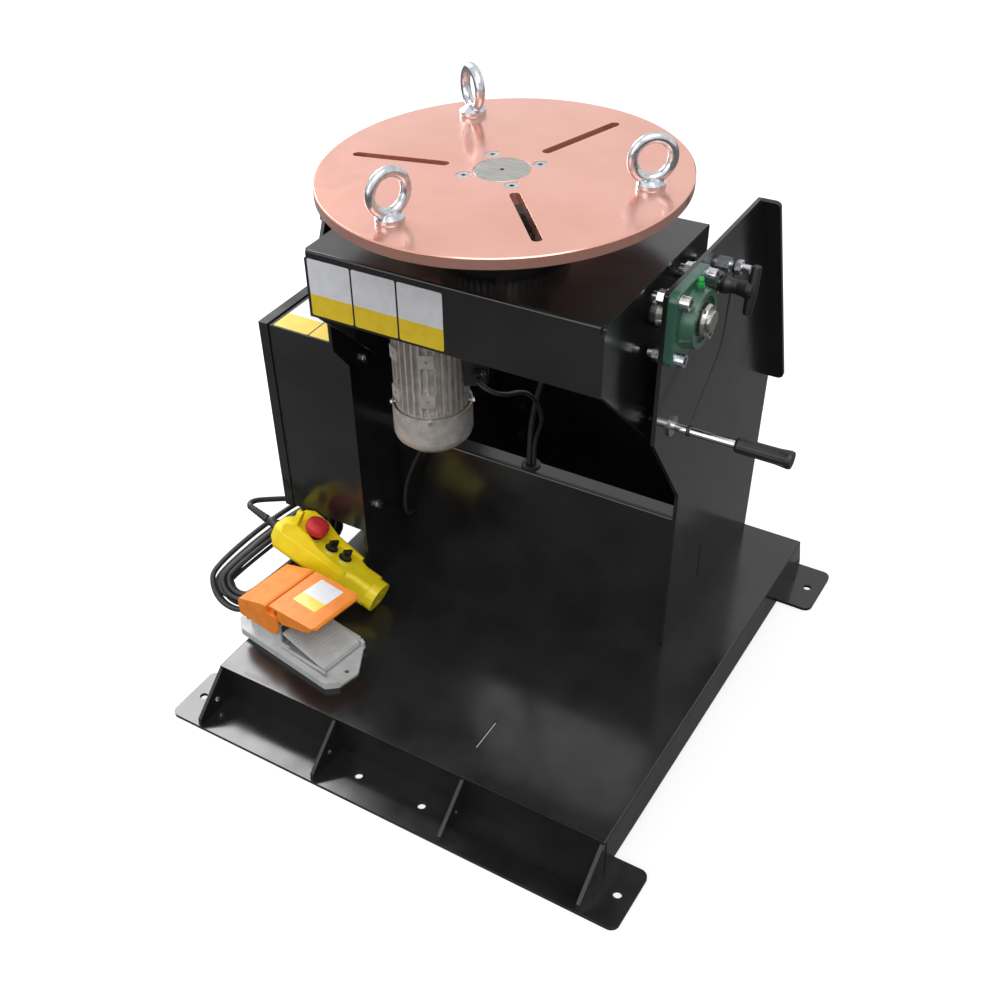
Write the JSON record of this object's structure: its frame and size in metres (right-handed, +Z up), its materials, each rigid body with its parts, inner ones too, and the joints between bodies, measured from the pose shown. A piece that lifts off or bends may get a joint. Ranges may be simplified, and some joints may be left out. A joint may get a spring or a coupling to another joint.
{
  "type": "welding positioner",
  "caption": "Floor-standing welding positioner: a slotted round table turns on a motor cradle that tilts between two uprights, with pendant, foot switch and cabinet.",
  "frame": {"origin": "on the floor, at the middle of the four end bolt holes of the floor strips", "axes": "+X to the right along the tilt axis, +Y to the rear, +Z up"},
  "size_m": [0.932, 0.8989, 0.96],
  "materials": {
    "black_paint": "semi-gloss",
    "copper_paint": "satin",
    "zinc": "bright zinc",
    "turned_steel": "turned",
    "chrome": "polished",
    "aluminium": "cast, painted silver",
    "cast_iron": "as cast",
    "green_casting": "semi-gloss",
    "green_cap": "gloss",
    "grey_casting": "satin",
    "grey_plastic": "matt",
    "yellow_plastic": "satin",
    "orange_plastic": "satin",
    "red_plastic": "satin",
    "black_plastic": "matt",
    "bright_trim": "polished",
    "rubber": "matt"
  },
  "bodies": {
    "base": {"base_deck": "black_paint", "base_plates": "black_paint", "floor_strips": "black_paint", "right_upright": "black_paint", "left_upright": "black_paint", "cross_panel": "black_paint", "rear_panel": "black_paint", "panel_grommet": "rubber", "bearing_housings": "green_casting", "grease_nipples": "green_cap", "bearing_bolts": "zinc", "upright_bushes": "turned_steel", "lanyard_loops": "rubber", "lanyard": "rubber", "cabinet_box": "black_paint", "door_seal": "rubber", "hinge_fixed_leaves": "zinc", "cable_glands": "black_plastic", "frame_bolts": "zinc", "cabinet_switchgear": "grey_plastic", "pendant_shell": "yellow_plastic", "pendant_bezels": "bright_trim", "pedal_base": "grey_casting", "pedal_hood": "orange_plastic", "lead_coil": "rubber", "cabinet_to_coil_lead": "rubber", "pendant_lead": "rubber", "pedal_lead": "rubber", "table_cable": "rubber", "motor_cable": "rubber", "brake_cable": "rubber"},
    "cradle": {"cradle_shell": "black_paint", "tilt_stub_shafts": "turned_steel", "bearing_inner_rings": "turned_steel", "spindle_housing": "cast_iron", "spindle_bearings": "turned_steel", "gearbox": "aluminium", "motor_frame": "aluminium", "motor_fan_cowl": "aluminium", "motor_terminal_box": "aluminium", "cradle_fasteners": "zinc"},
    "table": {"table_disc": "copper_paint", "table_fasteners": "zinc", "eye_bolts": "zinc", "spindle": "turned_steel", "ring_gear": "turned_steel"},
    "pinion": {"drive_pinion": "turned_steel"},
    "rotor": {"motor_rotor": "turned_steel"},
    "door": {"cabinet_door": "black_paint", "hinge_door_leaves": "zinc"},
    "lock": {"door_lock": "zinc"},
    "clamp": {"clamp_screw": "turned_steel", "clamp_handle": "black_plastic"},
    "pin": {"index_pin": "chrome", "index_grip": "black_plastic"},
    "estop": {"estop_button": "red_plastic"},
    "left_selector": {"left_selector_knob": "black_plastic"},
    "right_selector": {"right_selector_knob": "black_plastic"},
    "treadle": {"pedal_treadle": "grey_casting"},
    "guard": {"pedal_guard": "orange_plastic"}
  },
  "joints": [
    {"name": "table_tilt", "type": "hinge", "parent": "base", "child": "cradle", "pos_m": [0, -0.01225, 0.736], "axis": [1, 0, 0], "range_deg": [0, 90], "deforming": ["table_cable", "motor_cable", "brake_cable"]},
    {"name": "table_turn", "type": "hinge", "parent": "cradle", "child": "table", "pos_m": [0, -0.02925, 0.89], "axis": [0, 0, 1], "continuous": true},
    {"name": "pinion_turn", "type": "hinge", "parent": "cradle", "child": "pinion", "pos_m": [-0.11522, -0.04957, 0.82], "axis": [0, 0, 1], "continuous": true},
    {"name": "rotor_turn", "type": "hinge", "parent": "cradle", "child": "rotor", "pos_m": [-0.11522, -0.04957, 0.6], "axis": [0, 0, 1], "continuous": true},
    {"name": "cabinet_door_swing", "type": "hinge", "parent": "base", "child": "door", "pos_m": [-0.4115, 0.23775, 0.39], "axis": [0, 0, -1], "range_deg": [0, 120]},
    {"name": "door_lock_turn", "type": "hinge", "parent": "door", "child": "lock", "pos_m": [-0.432, -0.04925, 0.3885], "axis": [-1, 0, 0], "range_deg": [0, 90]},
    {"name": "clamp_turn", "type": "hinge", "parent": "base", "child": "clamp", "pos_m": [0.3, 0.07875, 0.741], "axis": [1, 0, 0], "range_deg": [0, 270]},
    {"name": "index_pin_slide", "type": "slide", "parent": "base", "child": "pin", "axis": [-1, 0, 0], "range_m": [0, 0.03]},
    {"name": "estop_press", "type": "slide", "parent": "base", "child": "estop", "axis": [-0.3304, -0.2588, -0.9077], "range_m": [0, 0.004], "stiffness_N_per_m": 900, "springref_m": -0.004},
    {"name": "left_selector_turn", "type": "hinge", "parent": "base", "child": "left_selector", "pos_m": [-0.30485, -0.10899, 0.17777], "axis": [0.3304, 0.2588, 0.9077], "range_deg": [-90, 0]},
    {"name": "right_selector_turn", "type": "hinge", "parent": "base", "child": "right_selector", "pos_m": [-0.27666, -0.10899, 0.16751], "axis": [0.3304, 0.2588, 0.9077], "range_deg": [-90, 0]},
    {"name": "treadle_press", "type": "hinge", "parent": "base", "child": "treadle", "pos_m": [-0.19101, -0.25908, 0.094], "axis": [-0.1564, -0.9877, 0], "range_deg": [0, 6], "stiffness_Nm_per_rad": 12, "springref_deg": -2.86},
    {"name": "guard_lift", "type": "hinge", "parent": "base", "child": "guard", "pos_m": [-0.2878, -0.24375, 0.178], "axis": [-0.1564, -0.9877, 0], "range_deg": [0, 75]}
  ],
  "couplings": [
    {"joint": "pinion_turn", "follows": "table_turn", "ratio": -3.3333},
    {"joint": "rotor_turn", "follows": "table_turn", "ratio": 66.667}
  ]
}
